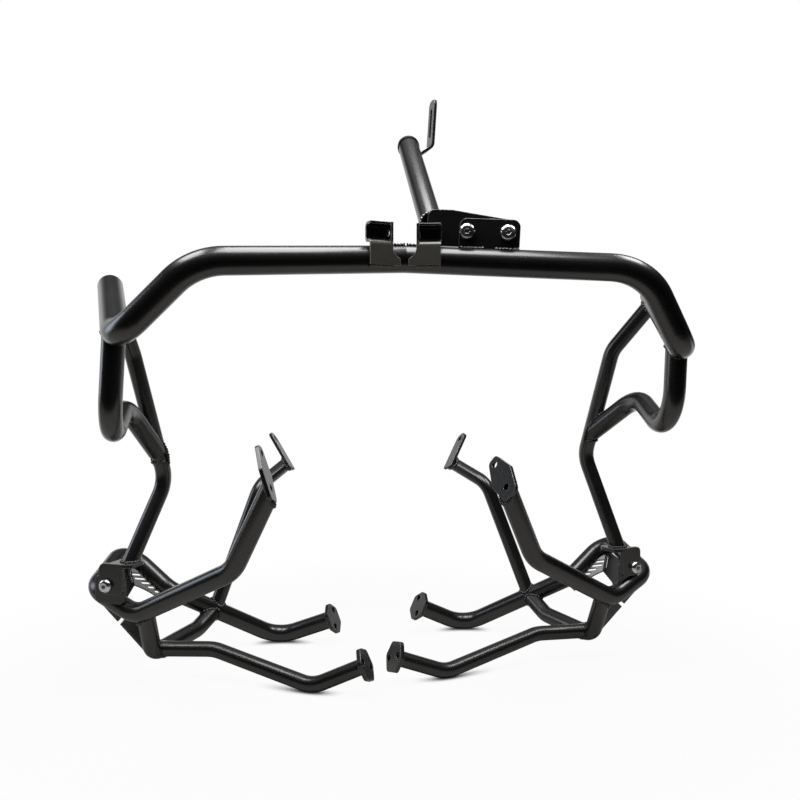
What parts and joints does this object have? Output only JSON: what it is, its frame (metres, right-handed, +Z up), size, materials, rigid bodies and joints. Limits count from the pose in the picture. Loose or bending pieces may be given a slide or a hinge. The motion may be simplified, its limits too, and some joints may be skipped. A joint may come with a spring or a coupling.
{
  "type": "motorcycle crash bars",
  "caption": "Set of black tubular crash bars for a motorcycle: a wide upper bar with side loops, a stay, and lower loops with slotted guards, tabs and flanges.",
  "frame": {"origin": "on the floor under the middle of the set", "axes": "+Z up, +X across towards the right of the picture, +Y from the front bar towards the back"},
  "size_m": [0.8294, 0.5861, 0.8141],
  "materials": {
    "coat": "satin",
    "zinc": "bright"
  },
  "bodies": {
    "root": {"bar_cap_left": "coat", "bar_cap_right": "coat", "bar_plate": "coat", "clamp_bolt_left": "zinc", "clamp_bolt_right": "zinc", "clamp_left": "coat", "clamp_nut_left": "zinc", "clamp_nut_right": "zinc", "clamp_right": "coat", "down_tube_left": "coat", "down_tube_right": "coat", "front_flange_left": "coat", "front_flange_right": "coat", "front_leg_left": "coat", "front_leg_right": "coat", "front_tab_left": "coat", "front_tab_right": "coat", "guard_left": "coat", "guard_right": "coat", "lower_loop_left": "coat", "lower_loop_right": "coat", "lower_post_left": "coat", "lower_post_right": "coat", "rear_flange_left": "coat", "rear_flange_right": "coat", "rear_tab_left": "coat", "rear_tab_right": "coat", "rear_tube_left": "coat", "rear_tube_right": "coat", "saddle_left": "coat", "saddle_right": "coat", "side_loop_left": "coat", "side_loop_right": "coat", "stay_bolt_1": "zinc", "stay_bolt_2": "zinc", "stay_cap": "coat", "stay_nut_1": "zinc", "stay_nut_2": "zinc", "stay_plate": "coat", "stay_strap": "coat", "stay_tube": "coat", "upper_bar_left": "coat", "upper_bar_right": "coat", "weld_tab_left": "coat", "weld_tab_right": "coat"}
  },
  "joints": []
}
